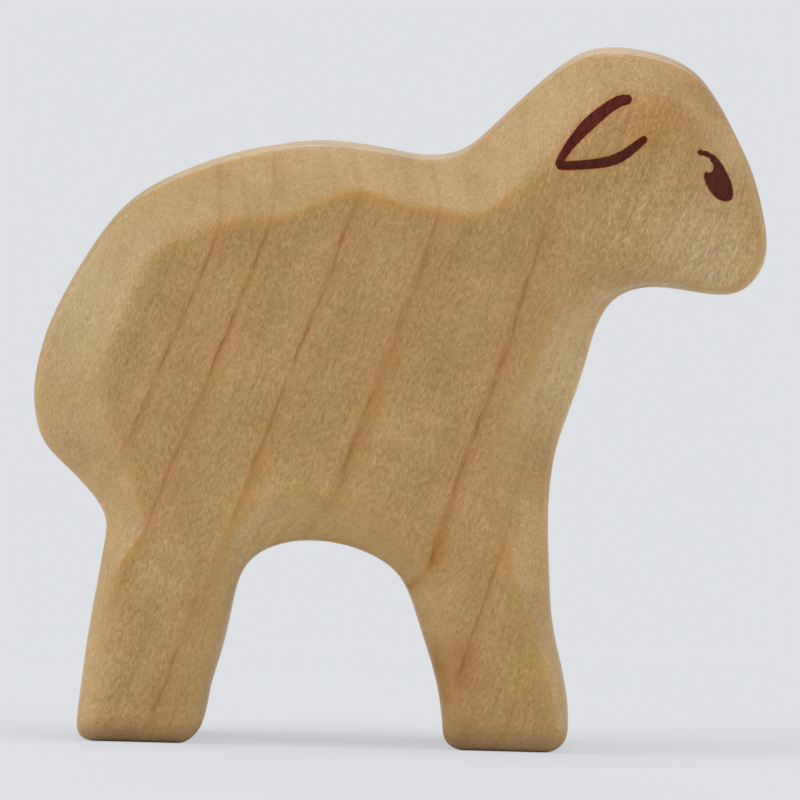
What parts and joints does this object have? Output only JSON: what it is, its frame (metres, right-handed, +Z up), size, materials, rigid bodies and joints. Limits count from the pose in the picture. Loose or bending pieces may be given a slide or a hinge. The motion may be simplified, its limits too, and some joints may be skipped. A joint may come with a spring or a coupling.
{
  "type": "toy sheep figurine",
  "caption": "Standing wooden toy sheep sawn from one board, with hand-cut bevels round both sides, flat feet, and drawn ears and eyes.",
  "frame": {"origin": "on the surface the feet stand on, under the middle of the figure's length and thickness", "axes": "+X towards the head, +Z up, +Y out of the sheep's left side"},
  "size_m": [0.072, 0.02, 0.0692],
  "materials": {
    "maple": "hand-sanded bare maple with fine grain",
    "brown_stain": "dark brown stain, matte"
  },
  "bodies": {
    "root": {"carved_body": "maple", "ear_mark_right": "brown_stain", "ear_mark_left": "brown_stain", "eye_mark_right": "brown_stain", "eye_mark_left": "brown_stain"}
  },
  "joints": []
}
